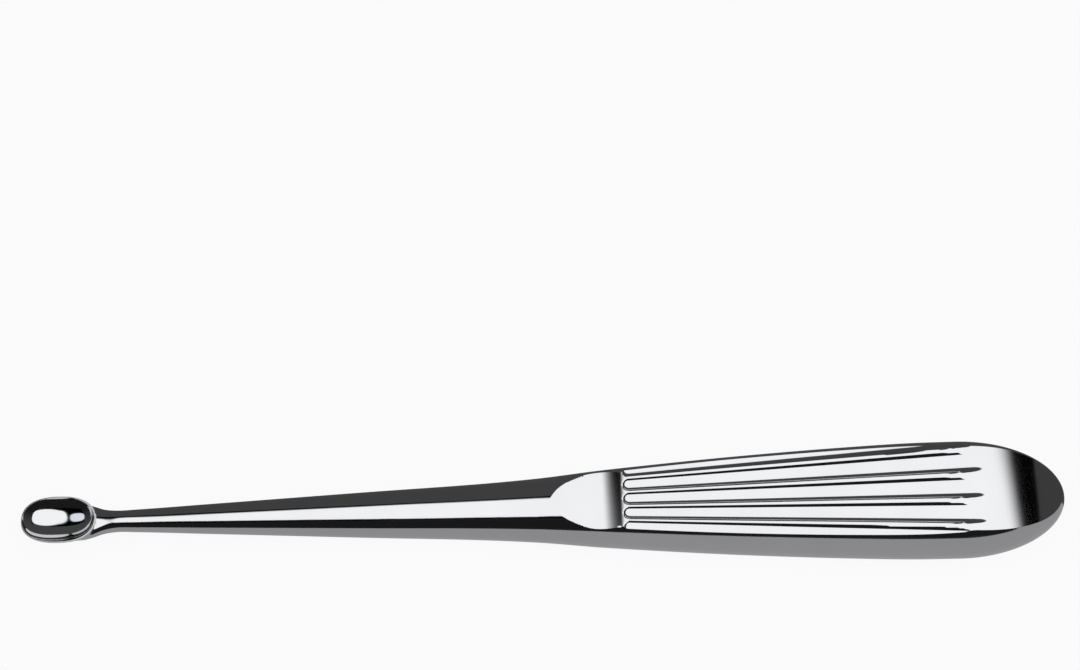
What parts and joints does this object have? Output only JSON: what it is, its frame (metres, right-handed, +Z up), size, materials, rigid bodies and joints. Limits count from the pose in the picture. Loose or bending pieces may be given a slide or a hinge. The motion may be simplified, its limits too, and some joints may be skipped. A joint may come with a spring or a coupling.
{
  "type": "cup curette",
  "caption": "One-piece surgical scraper: a small oval sharp-rimmed cup on a tapered round shank, with a long flat-faced fluted grip and a hollowed thumb rest.",
  "frame": {"origin": "centre of the instrument's outline seen from above, on the surface that it lies on", "axes": "+X from the cup to the butt of the grip, +Y across the instrument, +Z up, the way the cup's mouth opens"},
  "size_m": [0.17, 0.0193, 0.012],
  "materials": {
    "polished_steel": "polished"
  },
  "bodies": {
    "root": {"cup_curette": "polished_steel"}
  },
  "joints": []
}
